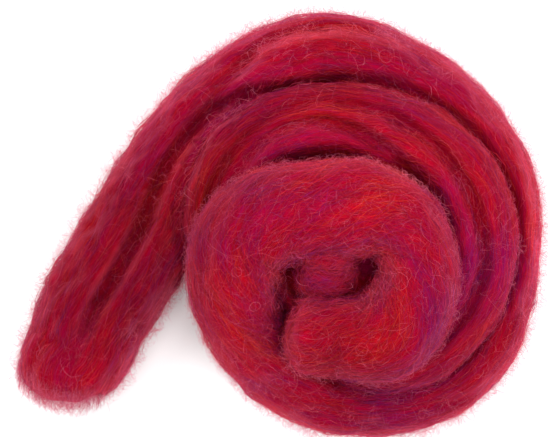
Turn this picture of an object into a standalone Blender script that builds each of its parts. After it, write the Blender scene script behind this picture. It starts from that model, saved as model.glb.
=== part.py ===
"""Wool roving: one soft carded strand laid in a loose spiral coil, with its loose end beside it.

The strand starts at a blunt loose end, runs round on the surface as the outer turn, climbs into a wide
lobe over the lower turns and winds in to a small end at the eye of the coil. A middle turn with three
lengthwise folds lies under the lobe. The origin is under the eye, on the surface that the coil rests on.
"""

import math
from collections import namedtuple

import bmesh
import bpy
from mathutils import Matrix, Vector

MM = 0.001

# Driving sizes, in millimetres
STRAND_HALF_WIDTH = 20.0
STRAND_HALF_DEPTH = 17.0
TURN_HALF_WIDTH = 19.0
TURN_HALF_DEPTH = 15.0
SECTION_SIDES = 30
SECTION_ROUNDNESS = 0.86
CREASE_WIDTH = 0.16
CLEFT_AT = -0.42
PIECE_GAP = 0.4

# Sections stand this far apart, and down to this share of it where the strand narrows to an end
STATION_STEP = 5.0
END_STEP_SHARE = 0.45
FINE_STEPS = 40

# The loose end stops, and the coil takes the strand over, at this angle of the outer turn
PARTING_ANGLE = 12.0
PARTING_GAP_ANGLE = 0.45

# The coil is fused from its turns at this mesh size, and thinned to this share of its faces
FUSE_SIZE = 1.8
KEPT_FACES = 0.25

# The windings hidden under the top turns, a low mound set back a little from the eye
CORE_RADIUS = 42.0
CORE_TOP = 34.0
CORE_BACK = 5.0

# The lobe's inner flank sags between the two hollows at the eye, in one small soft fold: the middle, half
# size and turn of its low part and of its root on the flank
EYE_FOLD = [
    ((-5.0, 1.5, 44.5), (10.4, 11.5, 10.0), math.radians(-12.0)),
    ((-5.0, 7.5, 49.0), (9.8, 7.0, 9.2), 0.0),
]

# Rows along the strand, tip first. Angle (degrees, falling = clockwise seen from above) and radius place
# the middle of the strand round the eye, and height is its middle above the surface. wide and deep scale
# the section's half sizes. fold is a lengthwise crease's depth, as a share of the half depth, and at says
# where it lies across the strand, from -1, the inner edge, to +1, the outer edge. There are two creases,
# and a cleft, as deep as cleft, where the strand's inner side draws away from the lobe that overhangs it.
Row = namedtuple("Row", "angle radius height wide deep at fold at_2 fold_2 cleft")

OUTER_STRAND = [
    Row(203.2, 110.1, 8.0, 0.34, 0.26, 0.00, 0.00, 0.00, 0.00, 0.00),
    Row(202.4, 109.5, 10.2, 0.62, 0.58, 0.00, 0.00, 0.00, 0.00, 0.00),
    Row(201.4, 108.5, 11.7, 0.82, 0.74, 0.00, 0.02, 0.00, 0.00, 0.00),
    Row(200.1, 106.9, 12.6, 0.92, 0.82, 0.00, 0.05, 0.00, 0.00, 0.00),
    Row(198.6, 104.0, 13.4, 0.98, 0.87, 0.00, 0.09, 0.00, 0.00, 0.00),
    Row(196.4, 98.8, 14.0, 1.01, 0.90, 0.00, 0.15, 0.00, 0.00, 0.00),
    Row(190.8, 92.0, 14.6, 1.05, 0.92, 0.00, 0.30, 0.00, 0.00, 0.00),
    Row(185.8, 86.4, 14.8, 1.08, 0.94, 0.00, 0.42, 0.00, 0.00, 0.00),
    Row(180.4, 80.8, 15.0, 1.08, 0.95, 0.00, 0.48, 0.00, 0.00, 0.00),
    Row(172.0, 75.0, 15.2, 1.08, 0.96, 0.00, 0.50, 0.00, 0.00, 0.00),
    Row(161.3, 71.2, 15.2, 1.05, 0.97, 0.05, 0.50, 0.00, 0.00, 0.00),
    Row(142.8, 70.0, 15.4, 1.00, 0.98, 0.20, 0.50, 0.24, 0.00, 0.00),
    Row(121.5, 72.2, 15.5, 1.00, 1.00, 0.10, 0.50, 0.40, 0.20, 0.00),
    Row(107.0, 75.2, 15.5, 1.00, 1.00, -0.32, 0.52, 0.66, 0.26, 0.00),
    Row(92.0, 76.6, 15.5, 1.00, 1.00, -0.42, 0.52, 0.70, 0.20, 0.00),
    Row(75.0, 72.2, 15.5, 1.00, 1.00, -0.11, 0.52, 0.84, 0.10, 0.00),
    Row(56.0, 68.0, 15.5, 1.00, 1.00, 0.07, 0.52, 0.84, 0.00, 0.00),
    Row(43.5, 65.2, 15.5, 1.00, 1.00, 0.19, 0.52, 0.84, 0.00, 0.00),
    Row(29.5, 62.4, 15.5, 1.00, 1.00, 0.31, 0.50, 0.84, 0.00, 0.00),
    Row(11.0, 55.8, 15.5, 1.02, 1.00, 0.46, 0.46, 0.84, 0.00, 0.00),
    Row(-7.5, 52.8, 15.5, 1.02, 1.00, 0.30, 0.36, 0.84, 0.00, 0.00),
    Row(-21.0, 52.4, 15.5, 1.02, 1.00, 0.18, 0.34, 0.84, 0.00, 0.00),
    Row(-36.5, 50.4, 15.5, 1.02, 1.00, 0.10, 0.34, 0.84, 0.00, 0.00),
    Row(-55.0, 46.4, 15.5, 1.00, 1.00, 0.00, 0.36, 0.84, 0.00, 0.00),
    Row(-73.0, 41.7, 15.5, 1.00, 1.00, -0.08, 0.40, 0.84, 0.00, 0.00),
    Row(-97.0, 37.8, 16.5, 1.01, 1.00, -0.13, 0.50, 0.84, 0.00, 0.00),
    Row(-126.0, 34.3, 22.0, 1.00, 1.03, -0.16, 0.64, 0.84, 0.00, 0.00),
    Row(-142.0, 34.0, 28.0, 0.98, 1.05, -0.38, 0.78, 0.84, 0.00, 0.00),
    Row(-161.0, 35.4, 35.0, 0.87, 1.06, -0.84, 0.50, 0.84, 0.00, 0.00),
    Row(-188.0, 36.8, 42.0, 0.86, 1.04, -0.84, 0.00, 0.00, 0.00, 0.00),
    Row(-203.0, 36.2, 45.0, 0.87, 1.00, -0.84, 0.00, 0.00, 0.00, 0.00),
    Row(-221.0, 31.2, 47.5, 0.90, 0.98, 0.00, 0.00, 0.00, 0.00, 0.00),
    Row(-250.0, 24.4, 49.0, 0.88, 0.97, 0.00, 0.00, 0.00, 0.00, 0.00),
    Row(-281.0, 23.8, 49.5, 0.89, 0.96, 0.00, 0.00, 0.00, 0.00, 0.00),
    Row(-315.0, 26.8, 49.5, 0.74, 0.95, 0.00, 0.00, 0.00, 0.00, 0.00),
    Row(-348.0, 26.6, 49.0, 0.72, 0.95, 0.00, 0.00, 0.00, 0.00, 0.00),
    Row(-382.0, 25.8, 48.5, 0.77, 0.94, 0.00, 0.00, 0.00, 0.00, 0.00),
    Row(-410.0, 24.8, 48.5, 0.83, 0.92, 0.00, 0.00, 0.00, 0.00, 0.00),
    Row(-446.0, 20.4, 48.0, 0.71, 0.87, 0.00, 0.00, 0.00, 0.00, 0.00),
    Row(-461.0, 20.8, 48.0, 0.70, 0.86, 0.00, 0.00, 0.00, 0.00, 0.00),
    Row(-474.0, 22.2, 48.0, 0.69, 0.85, 0.00, 0.00, 0.00, 0.00, 0.00),
    Row(-483.0, 24.0, 48.0, 0.66, 0.80, 0.00, 0.00, 0.00, 0.00, 0.00),
    Row(-488.5, 25.4, 47.9, 0.54, 0.66, 0.00, 0.00, 0.00, 0.00, 0.00),
    Row(-492.0, 26.4, 47.7, 0.32, 0.40, 0.00, 0.00, 0.00, 0.00, 0.00),
]

# The middle turn's two creases part its outer, narrow middle and inner folds
MIDDLE_TURN = [
    Row(206.0, 24.0, 15.0, 0.60, 0.80, 0.46, 0.00, 0.00, 0.00, 0.00),
    Row(198.0, 27.0, 15.5, 0.78, 0.92, 0.46, 0.00, 0.00, 0.00, 0.00),
    Row(184.0, 32.0, 16.0, 0.88, 1.00, 0.46, 0.00, 0.00, 0.00, 0.00),
    Row(170.0, 36.5, 18.0, 0.94, 1.03, 0.46, 0.10, 0.00, 0.10, 0.00),
    Row(158.0, 41.5, 21.0, 0.98, 1.04, 0.46, 0.30, 0.00, 0.20, 0.00),
    Row(143.0, 47.2, 24.5, 1.00, 1.04, 0.42, 0.44, 0.06, 0.30, 0.00),
    Row(126.0, 50.6, 27.5, 1.00, 1.03, 0.44, 0.44, 0.16, 0.42, 0.35),
    Row(108.0, 50.4, 29.0, 1.00, 1.02, 0.67, 0.40, 0.32, 0.42, 1.15),
    Row(92.0, 49.8, 30.0, 1.00, 1.02, 0.66, 0.40, 0.25, 0.46, 0.95),
    Row(72.0, 49.6, 31.5, 1.00, 1.01, 0.56, 0.46, -0.10, 0.52, 0.45),
    Row(52.0, 50.0, 32.5, 1.00, 1.00, 0.36, 0.52, -0.32, 0.46, 1.00),
    Row(30.0, 49.2, 33.5, 1.00, 0.98, 0.24, 0.54, -0.50, 0.30, 0.50),
    Row(0.0, 42.8, 34.0, 1.00, 0.96, 0.38, 0.52, -0.50, 0.00, 0.30),
    Row(-24.0, 37.4, 33.0, 0.98, 0.94, 0.30, 0.42, -0.50, 0.00, 0.30),
    Row(-45.0, 34.0, 31.0, 0.94, 0.92, 0.20, 0.24, -0.50, 0.00, 0.20),
    Row(-62.0, 30.5, 28.0, 0.88, 0.90, 0.16, 0.10, -0.50, 0.00, 0.00),
    Row(-78.0, 27.0, 25.0, 0.80, 0.86, 0.16, 0.00, -0.50, 0.00, 0.00),
    Row(-94.0, 23.0, 22.0, 0.66, 0.80, 0.16, 0.00, -0.50, 0.00, 0.00),
]

WOOL = (0.48, 0.012, 0.045, 1.0)
WOOL_ROUGHNESS = 0.95
SHARP_ANGLE = math.radians(50.0)


def clear_scene():
    for obj in list(bpy.data.objects):
        bpy.data.objects.remove(obj)


def wool_material(name):
    mat = bpy.data.materials.new(name)
    mat.use_nodes = True
    shader = mat.node_tree.nodes["Principled BSDF"]
    shader.inputs["Base Color"].default_value = WOOL
    shader.inputs["Roughness"].default_value = WOOL_ROUGHNESS
    shader.inputs["Metallic"].default_value = 0.0
    mat.diffuse_color = WOOL
    return mat


def smooth_between(rows, place):
    """One row at a fractional place in a table, on a Catmull-Rom curve through the rows' values."""
    last = len(rows) - 1
    low = max(0, min(int(place), last - 1))
    t = place - low
    before = rows[max(low - 1, 0)]
    after = rows[min(low + 2, last)]
    values = []
    for a, b, c, d in zip(before, rows[low], rows[low + 1], after):
        value = b + 0.5 * t * (c - a + t * (2 * a - 5 * b + 4 * c - d + t * (3 * (b - c) + d - a)))
        values.append(value)
    return Row(*values)


def middle_point(row):
    angle = math.radians(row.angle)
    return Vector((row.radius * math.cos(angle), row.radius * math.sin(angle), row.height))


def stations(rows, first_angle=None, last_angle=None):
    """Rows about STATION_STEP apart along the strand, from one angle to another."""
    fine = [smooth_between(rows, i / FINE_STEPS) for i in range(FINE_STEPS * (len(rows) - 1) + 1)]
    if first_angle is not None:
        fine = [row for row in fine if row.angle <= first_angle]
    if last_angle is not None:
        fine = [row for row in fine if row.angle >= last_angle]
    picked = [fine[0]]
    walked = 0.0
    for before, row in zip(fine, fine[1:]):
        walked += (middle_point(row) - middle_point(before)).length
        share = END_STEP_SHARE + (1.0 - END_STEP_SHARE) * min(row.wide, picked[-1].wide)
        if walked >= STATION_STEP * share:
            picked.append(row)
            walked = 0.0
    if walked < END_STEP_SHARE * STATION_STEP:
        picked.pop()
    picked.append(fine[-1])
    return picked


def rounded(value):
    return math.copysign(abs(value) ** SECTION_ROUNDNESS, value)


def section_point(row, turn, half_width, half_depth):
    """A point of the strand's section: x across it, outer side positive, and y up."""
    across = rounded(math.cos(turn))
    up = level = rounded(math.sin(turn))
    if level > 0:
        for at, fold in ((row.at, row.fold), (row.at_2, row.fold_2), (CLEFT_AT, row.cleft)):
            up -= fold * math.exp(-(((across - at) / CREASE_WIDTH) ** 2)) * min(1.0, 2.0 * level)
    return half_width * row.wide * across, half_depth * row.deep * up


def sweep(rows, half_width, half_depth, extra=0.0):
    """A closed strand through the rows, its sections joined one to the next."""
    bm = bmesh.new()
    middles = [middle_point(row) for row in rows]
    rings = []
    for i, row in enumerate(rows):
        along = (middles[min(i + 1, len(rows) - 1)] - middles[max(i - 1, 0)]).normalized()
        side = along.cross(Vector((0, 0, -1))).normalized()
        if side.dot(Vector((middles[i].x, middles[i].y, 0))) < 0:
            side.negate()
        upward = side.cross(along)
        if upward.z < 0:
            upward.negate()
        made = bmesh.ops.create_circle(bm, cap_ends=False, radius=1.0, segments=SECTION_SIDES)
        for vert in made["verts"]:
            turn = math.atan2(vert.co.y, vert.co.x)
            across, up = section_point(row, turn, half_width, half_depth)
            across += extra * math.cos(turn)
            up += extra * math.sin(turn)
            vert.co = (middles[i] + side * across + upward * up) * MM
        rings.append(list({edge for vert in made["verts"] for edge in vert.link_edges}))
    for ring, following in zip(rings, rings[1:]):
        bmesh.ops.bridge_loops(bm, edges=ring + following)
    bmesh.ops.holes_fill(bm, edges=rings[0] + rings[-1], sides=SECTION_SIDES)
    bmesh.ops.recalc_face_normals(bm, faces=bm.faces)
    return bm


def as_object(name, bm):
    mesh = bpy.data.meshes.new(name)
    bm.to_mesh(mesh)
    bm.free()
    mesh.shade_smooth()
    mesh.set_sharp_from_angle(angle=SHARP_ANGLE)
    obj = bpy.data.objects.new(name, mesh)
    bpy.context.scene.collection.objects.link(obj)
    return obj


def applied(obj):
    """The object's mesh with its modifiers applied, as a bmesh; the object itself is removed."""
    bpy.context.view_layer.update()
    graph = bpy.context.evaluated_depsgraph_get()
    bm = bmesh.new()
    bm.from_mesh(obj.evaluated_get(graph).to_mesh())
    bpy.data.objects.remove(obj)
    return bm


def largest_body(bm):
    """Keeps the body with the most faces, so that no sealed hollow is left between the turns."""
    bm.verts.ensure_lookup_table()
    unseen = set(bm.verts)
    bodies = []
    while unseen:
        body = set()
        edge_of_body = [unseen.pop()]
        while edge_of_body:
            vert = edge_of_body.pop()
            body.add(vert)
            for edge in vert.link_edges:
                other = edge.other_vert(vert)
                if other in unseen:
                    unseen.discard(other)
                    edge_of_body.append(other)
        bodies.append(body)
    bodies.sort(key=len)
    for body in bodies[:-1]:
        bmesh.ops.delete(bm, geom=list(body), context="VERTS")


def rest_flat(bm):
    """Flattens what reaches below the surface that the strand lies on."""
    geom = list(bm.verts) + list(bm.edges) + list(bm.faces)
    bmesh.ops.bisect_plane(
        bm, geom=geom, dist=1e-6, plane_co=(0, 0, 0), plane_no=(0, 0, 1), clear_inner=True
    )
    rim = [edge for edge in bm.edges if edge.is_boundary]
    bmesh.ops.holes_fill(bm, edges=rim, sides=0)
    bmesh.ops.recalc_face_normals(bm, faces=bm.faces)


def make_loose_end():
    rows = stations(OUTER_STRAND, last_angle=PARTING_ANGLE)
    bm = sweep(rows, STRAND_HALF_WIDTH, STRAND_HALF_DEPTH)
    rest_flat(bm)
    obj = as_object("loose_end", bm)
    obj.data.materials.append(wool_material("wool_loose_end"))
    return obj


def make_room_for_loose_end():
    """A cutter a little larger than the loose end all round.

    Its creases are filled, so that the coil's wool doesn't sink into the loose end's own.
    """
    rows = stations(OUTER_STRAND, last_angle=PARTING_ANGLE - PARTING_GAP_ANGLE)
    rows = [row._replace(fold=0.0, fold_2=0.0) for row in rows]
    cutter = as_object("loose_end_room", sweep(rows, STRAND_HALF_WIDTH, STRAND_HALF_DEPTH, PIECE_GAP))
    cutter.hide_render = True
    cutter.display_type = "WIRE"
    return cutter


def mound(middle, half_size, turn=0.0):
    """A closed ellipsoid, turned about the vertical."""
    bm = bmesh.new()
    bmesh.ops.create_uvsphere(bm, u_segments=32, v_segments=16, radius=1.0)
    bmesh.ops.scale(bm, vec=Vector(half_size) * MM, verts=bm.verts)
    bmesh.ops.rotate(bm, cent=(0, 0, 0), matrix=Matrix.Rotation(turn, 3, "Z"), verts=bm.verts)
    bmesh.ops.translate(bm, vec=Vector(middle) * MM, verts=bm.verts)
    return bm


def joined(parts):
    """Several closed meshes in one."""
    bm = bmesh.new()
    for part in parts:
        mesh = bpy.data.meshes.new("part")
        part.to_mesh(mesh)
        part.free()
        bm.from_mesh(mesh)
        bpy.data.meshes.remove(mesh)
    return bm


def fused(parts):
    """One skin round several overlapping closed meshes."""
    obj = as_object("fused", joined(parts))
    remesh = obj.modifiers.new("fuse", "REMESH")
    remesh.mode = "VOXEL"
    remesh.voxel_size = FUSE_SIZE * MM
    smooth = obj.modifiers.new("soften", "SMOOTH")
    smooth.factor = 0.5
    smooth.iterations = 4
    bm = applied(obj)
    largest_body(bm)
    return bm


def make_coil():
    """The coil's turns fused into one solid, less the room that the loose end takes."""
    outer = stations(OUTER_STRAND, first_angle=PARTING_ANGLE)
    outer_turns = sweep(outer, STRAND_HALF_WIDTH, STRAND_HALF_DEPTH)
    middle_turn = sweep(stations(MIDDLE_TURN), TURN_HALF_WIDTH, TURN_HALF_DEPTH)
    hidden_windings = mound((0.0, CORE_BACK, 0.0), (CORE_RADIUS, CORE_RADIUS, CORE_TOP))
    eye_fold = [mound(*shape) for shape in EYE_FOLD]
    coil = as_object("coil", fused([outer_turns, middle_turn, hidden_windings, *eye_fold]))
    thin = coil.modifiers.new("thin", "DECIMATE")
    thin.ratio = KEPT_FACES
    cut = coil.modifiers.new("room", "BOOLEAN")
    cut.operation = "DIFFERENCE"
    cut.solver = "EXACT"
    cut.object = make_room_for_loose_end()
    bm = applied(coil)
    rest_flat(bm)
    largest_body(bm)
    coil = as_object("coil", bm)
    coil.data.materials.append(wool_material("wool_coil"))
    return coil


clear_scene()
make_loose_end()
make_coil()
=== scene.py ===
"""Wool roving: one soft carded strand in a loose spiral coil, with its loose end lying beside it."""

import math

import bmesh
import bpy
import numpy as np
from mathutils import Matrix, Vector
from mathutils.bvhtree import BVHTree
from mathutils.kdtree import KDTree


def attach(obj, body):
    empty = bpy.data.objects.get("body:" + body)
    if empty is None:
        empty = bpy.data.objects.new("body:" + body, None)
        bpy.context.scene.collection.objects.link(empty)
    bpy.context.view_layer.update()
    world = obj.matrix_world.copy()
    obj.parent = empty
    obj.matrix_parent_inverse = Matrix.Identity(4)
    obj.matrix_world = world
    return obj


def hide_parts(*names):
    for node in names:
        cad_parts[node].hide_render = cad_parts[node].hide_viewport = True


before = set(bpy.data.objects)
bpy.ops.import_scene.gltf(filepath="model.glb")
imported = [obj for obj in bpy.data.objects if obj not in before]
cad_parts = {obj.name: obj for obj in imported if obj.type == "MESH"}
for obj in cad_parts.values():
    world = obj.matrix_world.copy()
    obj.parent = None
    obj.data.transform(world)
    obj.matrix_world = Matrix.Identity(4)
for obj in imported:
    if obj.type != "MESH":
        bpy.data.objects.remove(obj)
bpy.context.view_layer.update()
MM = 0.001


# ---- The lay of the strand ------------------------------------------------------------------------------
# One carded strand, about 41 mm wide and 33 mm deep. It starts at a blunt tip, runs round on the surface,
# climbs over the lower turns in a wide lobe and winds in to a small end at the eye. A middle turn with
# lengthwise folds lies under the lobe.

STRAND_HALF_WIDTH = 20.0
STRAND_HALF_DEPTH = 17.0
TURN_HALF_WIDTH = 19.0
TURN_HALF_DEPTH = 15.0
ROUNDNESS = 0.88
FINE_STEPS = 40
STATION_STEP = 1.6
PARTING_ANGLE = 12.0

# angle and radius place the strand's middle round the eye, height is its middle above the surface, wide
# and deep scale its half sizes, and the two creases lie at, from -1, the inner edge, to 1, the outer edge,
# with their depth, fold, as a share of the half depth. cleft is the depth of the cleft at the inner side.
# The columns that a row leaves out are zero.
COLUMNS = "angle radius height wide deep at fold at_2 fold_2 cleft".split()

OUTER_STRAND = [
    (203.2, 110.1, 8.0, 0.34, 0.26),
    (202.4, 109.5, 10.2, 0.62, 0.58),
    (201.4, 108.5, 11.7, 0.82, 0.74, 0.00, 0.02),
    (200.1, 106.9, 12.6, 0.92, 0.82, 0.00, 0.05),
    (198.6, 104.0, 13.4, 0.98, 0.87, 0.00, 0.09),
    (196.4, 98.8, 14.0, 1.01, 0.90, 0.00, 0.15),
    (190.8, 92.0, 14.6, 1.05, 0.92, 0.00, 0.30),
    (185.8, 86.4, 14.8, 1.08, 0.94, 0.00, 0.42),
    (180.4, 80.8, 15.0, 1.08, 0.95, 0.00, 0.48),
    (172.0, 75.0, 15.2, 1.08, 0.96, 0.00, 0.50),
    (161.3, 71.2, 15.2, 1.05, 0.97, 0.05, 0.50),
    (142.8, 70.0, 15.4, 1.00, 0.98, 0.20, 0.50, 0.24),
    (121.5, 72.2, 15.5, 1.00, 1.00, 0.10, 0.50, 0.40, 0.20),
    (107.0, 75.2, 15.5, 1.00, 1.00, -0.32, 0.52, 0.66, 0.26),
    (92.0, 76.6, 15.5, 1.00, 1.00, -0.42, 0.52, 0.70, 0.20),
    (75.0, 72.2, 15.5, 1.00, 1.00, -0.11, 0.52, 0.84, 0.10),
    (56.0, 68.0, 15.5, 1.00, 1.00, 0.07, 0.52, 0.84),
    (43.5, 65.2, 15.5, 1.00, 1.00, 0.19, 0.52, 0.84),
    (29.5, 62.4, 15.5, 1.00, 1.00, 0.31, 0.50, 0.84),
    (11.0, 55.8, 15.5, 1.02, 1.00, 0.46, 0.46, 0.84),
    (-7.5, 52.8, 15.5, 1.02, 1.00, 0.30, 0.36, 0.84),
    (-21.0, 52.4, 15.5, 1.02, 1.00, 0.18, 0.34, 0.84),
    (-36.5, 50.4, 15.5, 1.02, 1.00, 0.10, 0.34, 0.84),
    (-55.0, 46.4, 15.5, 1.00, 1.00, 0.00, 0.36, 0.84),
    (-73.0, 41.7, 15.5, 1.00, 1.00, -0.08, 0.40, 0.84),
    (-97.0, 37.8, 16.5, 1.01, 1.00, -0.13, 0.50, 0.84),
    (-126.0, 34.3, 22.0, 1.00, 1.03, -0.16, 0.64, 0.84),
    (-142.0, 34.0, 28.0, 0.98, 1.05, -0.38, 0.78, 0.84),
    (-161.0, 35.4, 35.0, 0.87, 1.06, -0.84, 0.50, 0.84),
    (-188.0, 36.8, 42.0, 0.86, 1.04, -0.84),
    (-203.0, 36.2, 45.0, 0.87, 1.00, -0.84),
    (-221.0, 31.2, 47.5, 0.90, 0.98),
    (-250.0, 24.4, 49.0, 0.88, 0.97),
    (-281.0, 23.8, 49.5, 0.89, 0.96),
    (-315.0, 26.8, 49.5, 0.74, 0.95),
    (-348.0, 26.6, 49.0, 0.72, 0.95),
    (-382.0, 25.8, 48.5, 0.77, 0.94),
    (-410.0, 24.8, 48.5, 0.83, 0.92),
    (-446.0, 20.4, 48.0, 0.71, 0.87),
    (-461.0, 20.8, 48.0, 0.70, 0.86),
    (-474.0, 22.2, 48.0, 0.69, 0.85),
    (-483.0, 24.0, 48.0, 0.66, 0.80),
    (-488.5, 25.4, 47.9, 0.54, 0.66),
    (-492.0, 26.4, 47.7, 0.32, 0.40),
]
MIDDLE_TURN = [
    (206.0, 24.0, 15.0, 0.60, 0.80, 0.46),
    (198.0, 27.0, 15.5, 0.78, 0.92, 0.46),
    (184.0, 32.0, 16.0, 0.88, 1.00, 0.46),
    (170.0, 36.5, 18.0, 0.94, 1.03, 0.46, 0.10, 0.00, 0.10),
    (158.0, 41.5, 21.0, 0.98, 1.04, 0.46, 0.30, 0.00, 0.20),
    (143.0, 47.2, 24.5, 1.00, 1.04, 0.42, 0.44, 0.06, 0.30),
    (126.0, 50.6, 27.5, 1.00, 1.03, 0.44, 0.44, 0.16, 0.42, 0.35),
    (108.0, 50.4, 29.0, 1.00, 1.02, 0.67, 0.40, 0.32, 0.42, 1.15),
    (92.0, 49.8, 30.0, 1.00, 1.02, 0.66, 0.40, 0.25, 0.46, 0.95),
    (72.0, 49.6, 31.5, 1.00, 1.01, 0.56, 0.46, -0.10, 0.52, 0.45),
    (52.0, 50.0, 32.5, 1.00, 1.00, 0.36, 0.52, -0.32, 0.46, 1.00),
    (30.0, 49.2, 33.5, 1.00, 0.98, 0.24, 0.54, -0.50, 0.30, 0.50),
    (0.0, 42.8, 34.0, 1.00, 0.96, 0.38, 0.52, -0.50, 0.00, 0.30),
    (-24.0, 37.4, 33.0, 0.98, 0.94, 0.30, 0.42, -0.50, 0.00, 0.30),
    (-45.0, 34.0, 31.0, 0.94, 0.92, 0.20, 0.24, -0.50, 0.00, 0.20),
    (-62.0, 30.5, 28.0, 0.88, 0.90, 0.16, 0.10, -0.50),
    (-78.0, 27.0, 25.0, 0.80, 0.86, 0.16, 0.00, -0.50),
    (-94.0, 23.0, 22.0, 0.66, 0.80, 0.16, 0.00, -0.50),
]

# The fibres run straight along the outer turn. The lobe has a slight twist, so that over its top they
# drift outwards, by this much for each millimetre along it.
TWIST = 0.42
TWIST_START = -125.0
TWIST_FULL = -205.0


class Lay:
    """Stations along a strand: arrays of its length, middle, side and up directions, and its rows."""

    def __init__(self, rows, half_width, half_depth, twist):
        table = np.array([row + (0.0,) * (len(COLUMNS) - len(row)) for row in rows])
        last = len(table) - 1
        place = np.linspace(0.0, last, FINE_STEPS * last + 1)
        low = np.minimum(place.astype(int), last - 1)
        t = (place - low)[:, None]
        a = table[np.maximum(low - 1, 0)]
        b = table[low]
        c = table[low + 1]
        d = table[np.minimum(low + 2, last)]
        fine = b + 0.5 * t * (c - a + t * (2 * a - 5 * b + 4 * c - d + t * (3 * (b - c) + d - a)))
        angle = np.radians(fine[:, 0])
        radius = fine[:, 1]
        middle = np.stack([radius * np.cos(angle), radius * np.sin(angle), fine[:, 2]], axis=1)
        walked = np.concatenate([[0.0], np.cumsum(np.linalg.norm(np.diff(middle, axis=0), axis=1))])
        self.along = np.linspace(0.0, walked[-1], int(walked[-1] / STATION_STEP) + 2)
        self.middle = self.spread(walked, middle)
        self.rows = dict(zip(COLUMNS, self.spread(walked, fine).T))
        way = np.gradient(self.middle, axis=0)
        way /= np.linalg.norm(way, axis=1, keepdims=True)
        side = np.cross(way, [0.0, 0.0, -1.0])
        side /= np.linalg.norm(side, axis=1, keepdims=True)
        inward = (side * self.middle * [1.0, 1.0, 0.0]).sum(1) < 0.0
        side[inward] *= -1.0
        up = np.cross(side, way)
        up[up[:, 2] < 0.0] *= -1.0
        self.side = side
        self.up = up
        self.half_width = half_width * self.rows["wide"]
        self.half_depth = half_depth * self.rows["deep"]
        self.half = 0.5 * (self.half_width + self.half_depth)
        share = (TWIST_START - self.rows["angle"]) / (TWIST_START - TWIST_FULL)
        self.shear = twist * np.clip(share, 0.0, 1.0)
        self.drift = np.concatenate([[0.0], np.cumsum(self.shear[1:] * np.diff(self.along))])

    def spread(self, walked, values):
        return np.stack([np.interp(self.along, walked, column) for column in values.T], axis=1)

    def read(self, along, values):
        if values.ndim == 1:
            return np.interp(along, self.along, values)
        return np.stack([np.interp(along, self.along, column) for column in values.T], axis=-1)

    def place_of_angle(self, angle):
        return float(np.interp(-angle, -self.rows["angle"], self.along))

    def round_way(self, along, turn):
        """How far round the section a point lies, in mm, less the twist: constant along one fibre."""
        from_below = (turn + 0.5 * math.pi) % (2.0 * math.pi) - 0.5 * math.pi
        return from_below * self.read(along, self.half) + self.read(along, self.drift)

    def turn_beside(self, root_along, root_turn, along):
        """Where a fibre that passes a root lies round the section, further along."""
        drifted = self.read(along, self.drift) - self.read(root_along, self.drift)
        return root_turn - drifted / self.read(root_along, self.half)


def rounded(value):
    return np.sign(value) * np.abs(value) ** ROUNDNESS


CREASE_WIDTH = 0.15
CREASE_SHARPNESS = 1.0
CLEFT_AT = -0.42
MEAN_HALF = 18.0
SWELLS = [
    # share of the half size, waves round the section, turns of drift in each 100 mm, phase
    (0.020, 3, 0.25, 0.4),
    (0.013, 5, -0.40, 1.9),
    (0.009, 8, 0.60, 3.1),
    (0.006, 13, -0.50, 5.0),
]
LUMPS = [
    # height in mm, waves in each 100 mm along and round the strand, phase
    (0.30, 5.1, 3.7, 0.3),
    (0.28, 3.3, -6.3, 2.2),
    (0.22, 8.7, 5.9, 4.1),
    (0.20, -7.3, 9.1, 1.0),
    (0.14, 13.1, -8.3, 5.2),
    (0.12, 9.7, 14.9, 3.6),
]
FLOOR_LIFT = 0.15


def skin(lay, along, turn, lift=0.0):
    """Points on the strand's surface, lifted off it: along it in mm and round it from the outer side up."""
    across = rounded(np.cos(turn))
    up = rounded(np.sin(turn))
    level = np.clip(2.0 * up, 0.0, 1.0)
    creases = [
        (lay.read(along, lay.rows["at"]), lay.read(along, lay.rows["fold"])),
        (lay.read(along, lay.rows["at_2"]), lay.read(along, lay.rows["fold_2"])),
        (CLEFT_AT, lay.read(along, lay.rows["cleft"])),
    ]
    for at, depth in creases:
        apart = (across - at) / CREASE_WIDTH
        up = up - CREASE_SHARPNESS * depth * np.exp(-apart * apart) * level
    slid = turn + lay.read(along, lay.drift) / MEAN_HALF
    swell = 1.0
    for share, waves, drift, phase in SWELLS:
        swell = swell + share * np.sin(waves * slid + 2.0 * math.pi * drift * along / 100.0 + phase)
    beside = lay.round_way(along, turn)
    for height, waves_along, waves_round, phase in LUMPS:
        wave = 2.0 * math.pi * (waves_along * along + waves_round * beside) / 100.0
        lift = lift + height * np.sin(wave + phase)
    wide = lay.read(along, lay.half_width) * swell * across + lift * np.cos(turn)
    deep = lay.read(along, lay.half_depth) * swell * up + lift * np.sin(turn)
    point = lay.read(along, lay.middle)
    point = point + lay.read(along, lay.side) * wide[..., None] + lay.read(along, lay.up) * deep[..., None]
    point[..., 2] = np.maximum(point[..., 2], FLOOR_LIFT)
    return point


outer = Lay(OUTER_STRAND, STRAND_HALF_WIDTH, STRAND_HALF_DEPTH, TWIST)
middle = Lay(MIDDLE_TURN, TURN_HALF_WIDTH, TURN_HALF_DEPTH, 0.0)
outer_end = float(outer.along[-1])
middle_end = float(middle.along[-1])
parting = outer.place_of_angle(PARTING_ANGLE)


# ---- Heathered wool finish ------------------------------------------------------------------------------
# Dyed fibres of crimson, raspberry, purple and orange-red are carded together, so the colours run in
# streaks along the strand. The surface is matt. Where loose fibres stand off it singly, and on the open
# flanks, it is painted paler and pinker: painted light, for light that comes through the thin wool.


def new_group(name, inputs, outputs):
    group = bpy.data.node_groups.new(name, "ShaderNodeTree")
    for label, kind, value in inputs:
        socket = group.interface.new_socket(name=label, in_out="INPUT", socket_type=kind)
        if value is not None:
            socket.default_value = value
    for label, kind in outputs:
        group.interface.new_socket(name=label, in_out="OUTPUT", socket_type=kind)
    return group


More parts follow.
